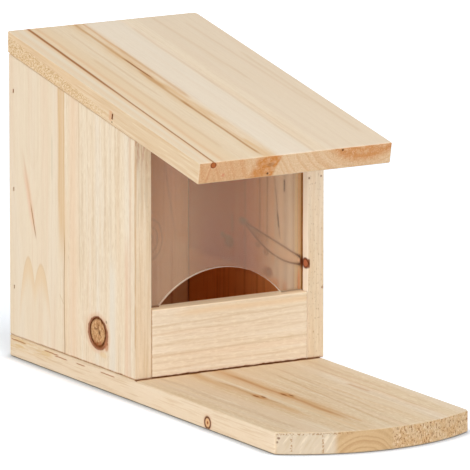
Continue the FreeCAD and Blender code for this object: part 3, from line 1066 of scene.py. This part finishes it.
# %% Finish the right wall
def right_wall_wood():
    """The right wall: a runs to the back from the front edge, and b to the inside."""
    board = Board("right_wall_wood", Vector((half_width, front_y, base_top)), Y_AXIS, Z_AXIS,
                  pith=(20, 44, 0.01, 0.05), ring=2.6, seed=23)
    outer = smooth(board.b, 4, 1) * (1 - board.side)
    plane(board, lined=0.9 - outer * 0.5, rings=outer * 0.35 + 0.2, warm=0.25)
    board.streak(AMBER, 96, 6, -5, 160, outer * 0.6, soft=30)
    board.streak(LATE, 101.5, 1.4, 20, 160, outer * 0.7, soft=20)
    board.streak((238, 206, 172), 40, 10, -5, 120, outer * 0.6, soft=40)
    front_edge(board, speckled=1)
    inner = smooth(board.b, wall_t - 0.6, wall_t - 0.2)
    inside = inner * smooth(board.a, 5.5, 5.9) * smooth(board.a, room_depth + 0.5, room_depth)
    # Painted warm shade of the dim room: orange over the inner face, and dark red-brown further from
    # the front.
    board.coat(INDOOR_SHADE_ORANGE, inside * (smooth(board.a, 24, 56) * 0.6 + 0.03))
    board.coat((198, 82, 42), inside * smooth(board.a, 34, 78) * 0.92)
    # Painted warm light at the foot of the inner face behind the pane: a paler orange, streaked.
    streaked = board.patchy(2.4, 60, 0.48, 0.68, detail=3, shift=37)
    foot = inside * smooth(board.c, 42, 36) * smooth(board.a, 14, 32)
    board.coat((244, 158, 92), foot)
    board.coat((196, 108, 48), foot * streaked * 0.5)
    inner_marks(board, inside)
    sawn_branch(board, inside)
    board.coat((84, 30, 12), bell(board.a, room_depth, 1.6) * inside * 0.6)
    front = board.side * smooth(board.a, 4, 3)
    # Painted light: the front edge is paler, most of all towards its top under the lid.
    board.coat((242, 222, 198), front * (smooth(board.c, 40, 100) * 0.35 + 0.05))
    kerf = board.side * span(board.a, 5.3, 8.3, 0.3) * smooth(board.b, wall_t - 4.1, wall_t - 3.7)
    board.coat((252, 208, 150), kerf)
    board.coat((190, 118, 36), kerf * smooth(board.b, wall_t - 0.5, wall_t - 0.9))
    root = smooth(board.b, wall_t - 4.4, wall_t - 3.8) * smooth(board.a, 4.2, 4.6)
    board.speck((110, 20, 0), 6.6, 53.2, 4.8, 9.6, where=root)
    # Painted light: the narrow inner strip in front of the pane is made paler.
    board.coat((255, 240, 220), inner * smooth(board.a, 5.3, 5.1) * 0.85)
    near_pane = smooth(board.b, wall_t - 1.7, wall_t - 0.9) * smooth(board.a, 5.4, 5)
    rim = {"across": 2.4, "along": 53.6, "width": 6.4, "length": 5.4}
    knot(board, **rim, where=near_pane, core=(190, 112, 78))
    board.coat((112, 50, 24), bell(board.oval(**rim), 1, 0.35) * near_pane * 0.8)
    for b_place, along, size in ((1.2, 39.5, 1), (2, 102, 0.9), (9.6, 101.5, 1)):
        spot = bell(board.b, b_place, size) * bell(board.c, along, size)
        board.coat((136, 86, 42), spot * front)
    bottom_gap_and_shade(board, board.c)
    cut_end(board, 0.3)
    return wood(board)


dressed_board("right_wall_board", "right_side_wall", "box", "wall_wood", right_wall_wood(), Z_AXIS)

# %% [markdown]
# The back wall is seen from two sides: dim and warm through the pane, where faint arcs lie
# about a knot at its right, and in full light from behind. The sill lies with its grain
# across the box, close to quarter-sawn, so its rings are five almost level lines.

# %% Finish the back wall and the sill
def back_wall_wood():
    """The back wall: a is X, and b points out to the back."""
    board = Board("back_wall_wood", Vector((0, back_y, base_top)), X_AXIS, Z_AXIS,
                  pith=(14, -34, 0.02, 0.05), ring=3.1, seed=31)
    inside = smooth(board.b, -wall_t + 0.6, -wall_t + 0.2)
    plane(board, lined=inside * 0.4 + 0.4, rings=0.55 - inside * 0.25, warm=0.3)
    board.streak(AMBER, -26, 5, -5, 170, 0.6, soft=30)
    board.streak(LATE, -31, 1.2, 30, 170, 0.6, soft=20)
    # Painted shade: the inner face is darkened and reddened by a multiplied tint.
    board.multiply_shade(DEEP_INSIDE_SHADE, inside)
    streaks = board.grain(4.6, 90, shift=37)
    # Painted warm light at the foot of the inner face: paler and more orange, streaked.
    foot = inside * smooth(board.c, 50, 38)
    board.coat((255, 210, 160), foot * 0.9)
    board.coat((206, 120, 60), foot * smooth(streaks, 0.48, 0.68) * 0.4)
    board.coat((206, 130, 86), inside * smooth(streaks, 0.52, 0.68) * 0.3)
    arcs = board.oval(25, 47, 15, 24, grit=0.08)
    near = smooth(arcs, 1.5, 0.9) * inside
    board.coat((150, 104, 66), bell(board.maths("FRACT", arcs * 2.6), 0.5, 0.3) * near * 0.5)
    upright = smooth(board.c, 36, 56) * inside
    board.coat((150, 104, 66), bell(board.a + board.c * 0.16, 48.4, 1.4) * upright * 0.25)
    cut_end(board, 0.4)
    return wood(board)


def sill_wood():
    """The sill: a points up, b out to the front, and c lies across the box."""
    board = Board("sill_wood", Vector((0, front_y, base_top)), Z_AXIS, X_AXIS,
                  pith=(-60, 40, 0.03, 0.02), ring=6.4, seed=47)
    plane(board, lined=0.75, rings=0.1, warm=0.08, pale=(234, 217, 194))
    for across, share, lean in ((29.6, 0.42, -0.03), (25.3, 0.36, -0.03), (19.2, 0.25, -0.035),
                                (12.9, 0.36, -0.03), (5.6, 0.3, -0.03)):
        board.streak((208, 178, 136), across, 1, -70, 70, share, lean, wander=0.9)
    board.streak((232, 200, 158), 34.5, 3, -20, 70, 0.6, soft=20)
    # Painted light: the top of the sill in front of the pane is made paler.
    painted_light_top = smooth(board.a, sill_high.z - base_top - 0.8, sill_high.z - base_top - 0.3)
    board.coat((255, 232, 198), painted_light_top * 0.8)
    bottom_gap_and_shade(board, board.a)
    joint = smooth(abs(board.c), inner_half - 0.7, inner_half - 0.2)
    board.coat((150, 100, 56), joint * (board.patchy(2, 9, 0.4, 0.6, shift=9) * 0.3))
    cut_end(board, 0.4)
    return wood(board)


dressed_board("back_wall_board", "back_wall", "box", "wall_wood", back_wall_wood(), Z_AXIS)
dressed_board("sill_board", "front_sill", "box", "sill_wood", sill_wood(), X_AXIS)

# %% [markdown]
# The landing board lies flat with its pith just under it. Its top shows the innermost rings
# as a long amber streak with two resin pockets, and its front end, sawn to a shallow arc,
# lays the same rings open as a low arch. Right of it the saw tore the fibres. Three masks
# part that end into zones, because the saw left each of them looking different.

# %% Draw the front end of the landing board
def end_zones(board):
    """The three zones of the front end: pale with oblique fibres, olive rings, torn."""
    middle = smooth(board.radius, 12, 4) * 0.3
    cut_end(board, middle, pale=(201, 168, 126), rings=0, grit=0.12)
    board.coat((176, 132, 84), board.late * board.end * 0.4)
    board.coat((220, 190, 148), bell(board.late, 0, 0.1) * board.end * 0.25)
    oblique = board.cloud(board.vector(board.a * 0.45 - board.b * 0.24, board.b * 0.1, 3), detail=3)
    left = smooth(board.a, -29, -33) * board.end
    board.coat((216, 201, 179), left * 0.85)
    board.coat((204, 182, 148), smooth(oblique, 0.5, 0.68) * left * 0.5)
    board.coat(CREAM, smooth(oblique, 0.46, 0.34) * left * 0.4)
    tick = board.patchy(1, 1, 0.48, 0.56, detail=1, shift=15)
    for across in (-52.6, -37.6):
        board.coat((164, 112, 58), bell(board.a, across, 0.9) * board.end * tick * 0.7)
    top_row = bell(board.b, -1, 1) * smooth(board.a, -20, -26) * board.end
    board.coat((156, 108, 60), top_row * tick * 0.7)
    right = smooth(board.a, -1, 3) * board.end
    board.coat((212, 184, 147), right * 0.8)
    board.coat((200, 156, 106), right * board.patchy(6, 6, 0.42, 0.6, shift=41) * 0.5)
    torn = board.cloud(board.vector(board.a * 0.9, board.b * 0.5, 7), roughness=0.8)
    board.coat((134, 82, 34), smooth(torn, 0.55, 0.63) * right * 0.85)
    board.coat(CREAM, smooth(torn, 0.44, 0.34) * right * 0.45)
    board.specks((
        (DARK_MARK, -58.2, -3.2, 1.5, 1.5, 0.8),
        (DARK_MARK, -59, -5.4, 1.5, 1.5, 0.8),
    ), where=board.end, on_end=True)


print("The front end has three zones.")

# %% [markdown]
# The left edge has short drying cracks along its upper arris, and a small ringed knot. The
# top has streaks over its whole width, each placed from the photograph, and the two
# resin pockets. The cracks' places are a short row in a loop, because only they differ.

# %% Draw the edge and the top of the landing board
def edge_marks(board):
    """The left edge: short cracks along its upper arris, and a ringed knot."""
    left = smooth(board.a, -52, -58) * board.side
    board.coat((240, 220, 194), left * 0.7)
    ochre = smooth(board.c, -96, -112) * smooth(board.b, -8.5, -6)
    mottle = board.patchy(1.6, 13, 0.4, 0.62, detail=3, roughness=0.6, shift=19)
    board.coat((222, 188, 132), left * ochre * mottle * 0.65)
    board.coat((216, 184, 144), board.patchy(1.1, 26, 0.5, 0.68, shift=29) * left * 0.5)
    wave = board.drift(board.c, 0.12, 3) * 0.4
    for start, end, depth in ((-150, -137, 2.2), (-112, -100, 2), (-100, -90, 2.9),
                              (-76, -70, 2.6), (-49, -37, 2.5)):
        crack = span(board.c, start, end, 3) * bell(board.b + wave, -depth, 0.75)
        board.coat((204, 134, 70), crack * left * 0.5)
        board.coat((132, 62, 14), crack * bell(board.b + wave, -depth, 0.45) * left * 0.65)
    ring = distance((board.c - 65.8) / 3.3, (board.b + 8.4) / 3.3)
    board.coat(HALO, smooth(ring, 1.7, 1) * left * 0.5)
    board.coat((232, 184, 132), smooth(ring, 0.9, 0.7) * left * 0.8)
    board.coat((96, 42, 10), bell(ring, 0.92, 0.36) * left)
    board.coat((150, 72, 26), smooth(ring, 0.4, 0.14) * left * 0.9)


def base_marks(board):
    """The streaks of the landing board's top, from its left side to its right."""
    # Painted light: the top is paler just in front of the box, where the lid shades it.
    rear = smooth(board.c, 34, 12) * smooth(board.c, -14, -8)
    board.coat((236, 214, 184), rear * 0.45)
    board.coat((228, 204, 174), bell(board.a + board.c * 0.02, -36, 6) * 0.7)
    board.streaks((
        ((204, 172, 134), -45, 3, -10, 120, 0.4, 0, 20),
        ((228, 206, 180), -50.5, 2.6, -10, 140, 0.5, 0, 20),
        ((212, 164, 108), -9, 8, -10, 104, 0.6, 0, 40),
        ((210, 166, 112), -25, 6, -10, 92, 0.6, 0, 30),
        ((188, 130, 72), -8.6, 2.6, 15, 108, 0.55, 0, 25),
        ((190, 138, 84), -22, 2.2, 26, 72, 0.55, 0, 20),
        ((204, 160, 110), -5.4, 2, 50, 130, 0.45, 0, 20),
        ((228, 198, 158), -15.6, 3, 0, 140, 0.6, 0, 20),
        ((204, 168, 120), 14.6, 1.6, 20, 140, 0.45, 0.07, 20),
        ((208, 172, 128), 22, 1.6, 10, 120, 0.4, 0.05, 15),
        ((200, 150, 98), 34.6, 2.2, 56, 72, 0.55, -0.02, 6),
        ((210, 176, 132), 41, 1.6, 20, 110, 0.4, 0, 15),
        ((212, 176, 136), 46.5, 2.4, -5, 70, 0.45, 0, 15),
        ((230, 212, 184), 28, 5, -5, 140, 0.5, 0, 20),
        ((232, 217, 196), 56, 4, -5, 140, 0.4, 0, 20),
    ), wander=1.4)
    for across, along in ((-22.4, 57), (-7.4, 61)):
        board.speck((196, 140, 82), across, along, 6, 17, share=0.6)
        board.speck((140, 78, 28), across - 0.9, along - 2, 1.8, 7, share=0.8)
        board.speck((128, 68, 22), across + 1.4, along + 2, 1.5, 5.6, share=0.8)


print("The landing board's marks are placed in mm from the middle of the object.")

# %% [markdown]
# The walls and the sill leave a dark, slightly uneven line where they stand on the board: a
# dark joint, partly painted contact shadow. The floor of the room is darkened and reddened
# with painted shade, as the other hidden inner faces are.

# %% Finish the landing board
def base_wood():
    """The landing board: a is X, b points up, and c runs to the front."""
    board = Board("base_wood", Vector((0, 0, base_top)), X_AXIS, -Y_AXIS,
                  pith=(-16, -14, 0, -0.045), ring=3.4, seed=59)
    plane(board, lined=0.7, rings=0.25, warm=0.35, pale=(227, 205, 172))
    base_marks(board)
    edge_marks(board)
    end_zones(board)
    # A dark joint with painted contact shadow: a line on the board just in front of the walls and the
    # sill.
    uneven = (board.grain(6, 6, shift=33) - 0.5) * 3
    out = board.c + front_y + uneven
    under = smooth(board.b, -0.6, -0.3) * span(board.a, -half_width, half_width, 0.3)
    board.coat((196, 128, 62), span(out, -0.4, 1.2, 1.8) * under * 0.5)
    board.coat(GAP_AND_SHADE, span(out, -0.4, 1.1, 0.5) * under * 0.85)
    # Painted shade: the floor of the room is darkened and reddened by a multiplied tint.
    in_x = span(board.a, -inner_half, inner_half, 0.2)
    in_y = span(board.c, -front_y - room_depth + 0.4, -front_y - wall_t - 0.4, 0.4)
    board.multiply_shade(INSIDE_SHADE, in_x * in_y * smooth(board.b, -0.6, -0.2))
    return wood(board)


dressed_board("landing_board", "base_board", "box", "base_wood", base_wood(), Y_AXIS)

# %% [markdown]
# The pane is clear acrylic with a faint veil. Light from the wood in front of it scatters
# on its surface, so it looks like a thin warm haze over the dark inside. Alpha gives that
# haze: it is densest on the left, where more than a quarter of what is seen is the pane
# itself. Its cut edges are frosted and paler. A shader for glass would be truer, but in a
# short render hardly any light would find its way through it to the room behind.

# %% Finish the pane
veil_share = 0.16
veil_left = 0.12
veil_wipes = 0.08


def pane_finish():
    """A warm haze with upright wipe marks, and frosted cut edges."""
    finish = Finish("clear_acrylic")
    where = finish.point()
    side = finish.part(where, 0)
    height = finish.part(where, 2)
    between = smooth(abs(side), (inner_half + 0.5) * MM, (inner_half - 0.5) * MM)
    edge = smooth(finish.facing(Y_AXIS), 0.8, 0.3) * between
    # Painted shade: a dark line along the pane's foot on its left, with more alpha.
    foot = smooth(height, (pane_low.z + 1) * MM, (pane_low.z + 0.3) * MM)
    foot = foot * smooth(side, 0, -20 * MM)
    wipes = finish.cloud(finish.stretched(where, (300, 300, 5)))
    haze = finish.cloud(finish.stretched(where, (25, 25, 12)), detail=1)
    colour = finish.layered(
        (236, 198, 164),
        ((232, 192, 168), smooth(haze, 0.35, 0.65)),
        ((255, 250, 244), edge),
        ((120, 66, 30), foot),
    )
    rim = inner_half - 1.9
    veil = smooth(side, 0, -40 * MM) * veil_left + veil_share + (wipes - 0.5) * veil_wipes
    alpha = veil * smooth(side, (rim + 1) * MM, rim * MM) + edge * 0.75 + foot * 0.6
    values = {"Base Color": colour, "Roughness": 0.12 + edge * 0.4, "Alpha": alpha, "IOR": 1.49}
    return finish.shader(values)


nodes["window_pane"].material_slots[0].material = pane_finish()
print("The pane is", round(pane_high.y - pane_low.y, 1), "mm thick.")

# %% [markdown]
# The hinges are zinc-plated steel, rolled and pressed, and the screws are plated brighter.
# The brads are dull wire. The hinge leaves and pins keep the model's shape, with their
# burred edges broken, because their knuckles already hold every form that one can see.
# Noise that is drawn out along X gives the rolling lines, and coarser noise the bloom.

# %% Finish the steel
rolled_depth = 0.03 * MM
rust_depth = 0.04 * MM


def steel(name, colour, dark, roughness):
    """Plated steel with faint rolling lines and a dull bloom."""
    finish = Finish(name)
    where = finish.point()
    rolled = finish.cloud(finish.stretched(where, (300, 3000, 3000)))
    bloom = finish.cloud(where, scale=260, detail=3)
    shade = finish.blend(colour, dark, smooth(bloom, 0.45, 0.75) * 0.6)
    rough = roughness + (rolled - 0.5) * 0.25 + bloom * 0.12
    values = {"Base Color": shade, "Metallic": 1, "Roughness": rough}
    return finish.shader(values, rolled, rolled_depth)


def brad_finish():
    """Dull wire with a trace of rust."""
    finish = Finish("brad_steel")
    rust = finish.cloud(finish.point(), scale=900, detail=3)
    shade = finish.blend((160, 118, 74), (118, 82, 48), smooth(rust, 0.4, 0.7))
    values = {"Base Color": shade, "Metallic": 0.2, "Roughness": 0.5 + rust * 0.3}
    return finish.shader(values, rust, rust_depth)


hinge_steel = steel("hinge_steel", (176, 172, 160), (122, 116, 102), 0.26)
screw_steel = steel("screw_steel", (150, 148, 142), (104, 100, 94), 0.22)
brad_steel = brad_finish()
burr = 0.08 * MM


def dressed_steel(node, body):
    """A hinge part of the model with its edges broken."""
    bm = merged(node)
    rounded(bm, burr)
    made_object(node + "_plated", bm, body, hinge_steel, [node])


for side in ("left", "right"):
    dressed_steel(f"{side}_hinge_pin", "box")
    dressed_steel(f"{side}_hinge_wall_leaf", "box")
    dressed_steel(f"{side}_hinge_lid_leaf", "lid")

# %% [markdown]
# Screws and brads repeat, so each is modelled once, small and complete, and Geometry Nodes
# set it wherever the model has one. A skin over a stack of loops makes both.

# %% Skin a stack of loops
def skin(bm, loops):
    """Quads between loops of equal length, in order."""
    rows = [[bm.verts.new(point) for point in loop] for loop in loops]
    for upper, lower in zip(rows, rows[1:]):
        for index in range(len(upper)):
            bm.faces.new((upper[index - 1], upper[index], lower[index], lower[index - 1]))
    return rows


def prototype(name, bm):
    """Keeps a small model, with its seams closed, as an object that only nodes use."""
    bmesh.ops.remove_doubles(bm, verts=bm.verts, dist=1e-7)
    bmesh.ops.recalc_face_normals(bm, faces=bm.faces)
    mesh = bpy.data.meshes.new(name)
    bm.to_mesh(mesh)
    bm.free()
    print(f"{name}: {len(mesh.polygons)} faces")
    return bpy.data.objects.new(name, mesh)


print("A skin joins each loop to the next one by quads.")

# %% [markdown]
# The screws are countersunk and have a cross recess. Their loops are circles whose radius
# follows the helix of the thread, so that the thread is real and catches light. A plain
# spiral could be swept round a rod, but its ends would need closing by hand. The recess is
# a pit of three crosses, and the face round it is filled with triangles.

# %% Model one screw
head_r = 2
shank_r = 1.1
screw_length = 9
tip_length = 2
thread_pitch = 0.9
thread_depth = 0.28
recess_arm = 0.95
recess_half = 0.22
recess_depth = 0.85
round_steps = 24


def screw_radius(height, turn):
    """The screw's radius below its head: a tapered tip, with the thread cut into it."""
    left = (screw_length + height) / tip_length
    body = shank_r * min(1, 0.12 + 0.88 * math.sqrt(max(left, 0)))
    groove = abs((height / thread_pitch + turn) % 1 - 0.5) * 2
    return body * (1 - thread_depth * groove)


def screw():
    """A countersunk screw with a cross recess, its face at zero and its tip below."""
    bm = bmesh.new()
    def circle(height, radius=None):
        loop = []
        for step in range(round_steps):
            turn = step / round_steps
            reach = radius or screw_radius(height, turn)
            x, y = math.cos(2 * math.pi * turn) * reach, math.sin(2 * math.pi * turn) * reach
            loop.append(Vector((x, y, height)) * MM)
        return loop
    head_depth = head_r - shank_r
    loops = [circle(0, head_r - 0.08), circle(-0.06, head_r), circle(-head_depth, shank_r)]
    rows = int((screw_length - head_depth) / thread_pitch * 6)
    for row in range(1, rows + 1):
        loops.append(circle(-head_depth - 0.1 - (screw_length - head_depth - 0.1) * row / rows))
    rings = skin(bm, loops)
    bm.faces.new(rings[-1])
    def cross(scale, height):
        arm, half = recess_arm, recess_half
        points = []
        for quarter in range(4):
            turn = Matrix.Rotation(quarter * math.pi / 2, 3, "Z")
            for x, y in ((arm, -half), (arm, half), (half, half)):
                points.append(turn @ Vector((x * scale, y * scale, height)) * MM)
        return points
    pit = skin(bm, [cross(1, 0), cross(0.62, -recess_depth * 0.7), cross(0.05, -recess_depth)])
    bm.faces.new(pit[-1])
    rim = [edge for edge in bm.edges if edge.is_boundary]
    bmesh.ops.triangle_fill(bm, edges=rim, use_beauty=True)
    return prototype("one_screw", bm)


one_screw = screw()

# %% [markdown]
# A brad is a piece of flattened wire with a slightly crowned head. Its loops have eight
# points: a rectangle with its corners cut. The same loop at several sizes makes the crown,
# the head, the shank and the tip.

# %% Model one brad
brad_head = (2, 1.2)
brad_shank = (1.2, 1)
brad_head_depth = 0.7
brad_length = 25


def brad():
    """A wire brad with a crowned flat head, its face at zero and its tip below."""
    bm = bmesh.new()
    def loop(size, share, height):
        long, short = size[0] / 2 * share, size[1] / 2 * share
        ease = min(long, short) * 0.45
        points = []
        for sign_x, sign_y, order in ((1, 1, 0), (-1, 1, 1), (-1, -1, 0), (1, -1, 1)):
            pair = [(long, short - ease), (long - ease, short)]
            for x, y in (pair if order == 0 else pair[::-1]):
                points.append(Vector((sign_x * x, sign_y * y, height)) * MM)
        return points
    rings = skin(bm, [
        loop(brad_head, 0.55, 0),
        loop(brad_head, 0.9, -0.05),
        loop(brad_head, 1, -0.18),
        loop(brad_head, 1, -brad_head_depth),
        loop(brad_shank, 1, -brad_head_depth),
        loop(brad_shank, 1, 3 - brad_length),
        loop(brad_shank, 0.1, -brad_length),
    ])
    bm.faces.new(rings[0])
    bm.faces.new(rings[-1])
    return prototype("one_brad", bm)


one_brad = brad()

# %% [markdown]
# The places come from the model: each fastener's solid in a CAD node gives one point, at
# the middle of its head's face. Two directions go with every point: out of the board, and
# along the head where it is longer than it is wide.

# %% Read the places of the fasteners
def solids(node):
    """The boxes of the separate solids in a CAD node, in metres."""
    bm = merged(node)
    left = set(bm.verts)
    boxes = []
    while left:
        island = {left.pop()}
        edge = list(island)
        while edge:
            vert = edge.pop()
            for link in vert.link_edges:
                other = link.other_vert(vert)
                if other in left:
                    left.discard(other)
                    island.add(other)
                    edge.append(other)
        places = [vert.co for vert in island]
        low = Vector([min(place[axis] for place in places) for axis in range(3)])
        high = Vector([max(place[axis] for place in places) for axis in range(3)])
        boxes.append((low, high))
    bm.free()
    return sorted(boxes, key=lambda box: tuple(round(part, 5) for part in box[0]))


def head_points(node, out):
    """The middle of each solid's outer face, seen along out."""
    points = []
    for low, high in solids(node):
        reach = Vector([abs(part) for part in out]).dot((high - low) / 2)
        points.append((low + high) / 2 + out * reach)
    return points


leaf_bodies = {"wall": "box", "lid": "lid"}
screw_nodes = {
    leaf: [f"{side}_hinge_{leaf}_screws" for side in ("left", "right")] for leaf in leaf_bodies
}
screw_places = {
    leaf: [(point, Y_AXIS, Z_AXIS) for node in held for point in head_points(node, Y_AXIS)]
    for leaf, held in screw_nodes.items()
}
print({leaf: len(places) for leaf, places in screw_places.items()}, "screws by leaf")

# %% [markdown]
# One tree of Geometry Nodes sets a fastener on every point of a mesh. It turns each one to
# the two directions that are stored on its point, spins the screws by a seeded random turn,
# makes the copies real, and gives them their metal.

# %% Build the tree that sets them
def setting_tree():
    """Points in, fasteners out, with the fastener, its spin, the seed and the metal as named inputs."""
    group = bpy.data.node_groups.new("set_fasteners", "GeometryNodeTree")
    for name, kind in (("Points", "Geometry"), ("Fastener", "Object"), ("Spin", "Float"),
                       ("Seed", "Int"), ("Metal", "Material")):
        group.interface.new_socket(name, in_out="INPUT", socket_type="NodeSocket" + kind)
    group.interface.new_socket("Fasteners", in_out="OUTPUT", socket_type="NodeSocketGeometry")
    tree = Nodes(group)
    def given(name):
        return tree.node("NodeGroupInput", output=name)
    def stored(name):
        settings = {"data_type": "FLOAT_VECTOR"}
        return tree.node("GeometryNodeInputNamedAttribute", settings, {"Name": name}, "Attribute")
    axes = {"primary_axis": "Z", "secondary_axis": "X"}
    turned = tree.node("FunctionNodeAxesToRotation", axes, {0: stored("out"), 1: stored("long")})
    random_turn = tree.node("FunctionNodeRandomValue", {"data_type": "FLOAT"},
                            {2: 0.0, 3: given("Spin"), "Seed": given("Seed")}, 1)
    spin = tree.node("FunctionNodeAxisAngleToRotation", None, {"Axis": (0, 0, 1), "Angle": random_turn})
    both = tree.node("FunctionNodeRotateRotation", {"rotation_space": "LOCAL"}, {0: turned, 1: spin})
    model = tree.node("GeometryNodeObjectInfo", None, {"Object": given("Fastener")}, "Geometry")
    copies = tree.node("GeometryNodeInstanceOnPoints", None,
                       {"Points": given("Points"), "Instance": model, "Rotation": both})
    real = tree.node("GeometryNodeRealizeInstances", None, {"Geometry": copies})
    plated = tree.node("GeometryNodeSetMaterial", None, {"Geometry": real, "Material": given("Metal")})
    tree.node("NodeGroupOutput", None, {"Fasteners": plated})
    return group


set_fasteners = setting_tree()
print("The tree's inputs:", [item.name for item in set_fasteners.interface.items_tree])

# %% [markdown]
# The tree runs three times: for the screws of the wall leaves, for those of the lid leaves,
# and for all the brads. What comes out is kept as a plain mesh that needs the tree no more.

# %% Set the screws and the brads
def set_on_points(name, places, model, spin, seed, metal, body, replaced):
    """Runs the tree on points with directions, bakes it, and hands over a plain mesh."""
    points = bpy.data.meshes.new(name)
    points.from_pydata([point for point, out, long in places], [], [])
    for label, index in (("out", 1), ("long", 2)):
        stored = points.attributes.new(label, "FLOAT_VECTOR", "POINT")
        stored.data.foreach_set("vector", [part for place in places for part in place[index]])
    carrier = bpy.data.objects.new(name + "_points", points)
    bpy.context.collection.objects.link(carrier)
    modifier = carrier.modifiers.new("set", "NODES")
    modifier.node_group = set_fasteners
    chosen = {"Fastener": model, "Spin": spin, "Seed": seed, "Metal": metal}
    for item in set_fasteners.interface.items_tree:
        if item.name in chosen:
            modifier[item.identifier] = chosen[item.name]
    depsgraph = bpy.context.evaluated_depsgraph_get()
    baked = bpy.data.meshes.new_from_object(carrier.evaluated_get(depsgraph), depsgraph=depsgraph)
    bpy.data.objects.remove(carrier)
    baked.name = name
    for label in ("out", "long"):
        if label in baked.attributes:
            baked.attributes.remove(baked.attributes[label])
    hand_over(bpy.data.objects.new(name, baked), body, replaced, sharp_angle)


for leaf, body in leaf_bodies.items():
    set_on_points(f"{leaf}_leaf_screws", screw_places[leaf], one_screw, 2 * math.pi, 7, screw_steel,
                  body, screw_nodes[leaf])

brad_nodes = {
    "left_wall_brads": (-X_AXIS, Z_AXIS),
    "right_wall_brads": (X_AXIS, Z_AXIS),
    "base_brads": (-Z_AXIS, Y_AXIS),
}
brad_places = [
    (point, out, long) for node, (out, long) in brad_nodes.items() for point in head_points(node, out)
]
set_on_points("sunk_brads", brad_places, one_brad, 0.0, 1, brad_steel, "box",
              list(brad_nodes))
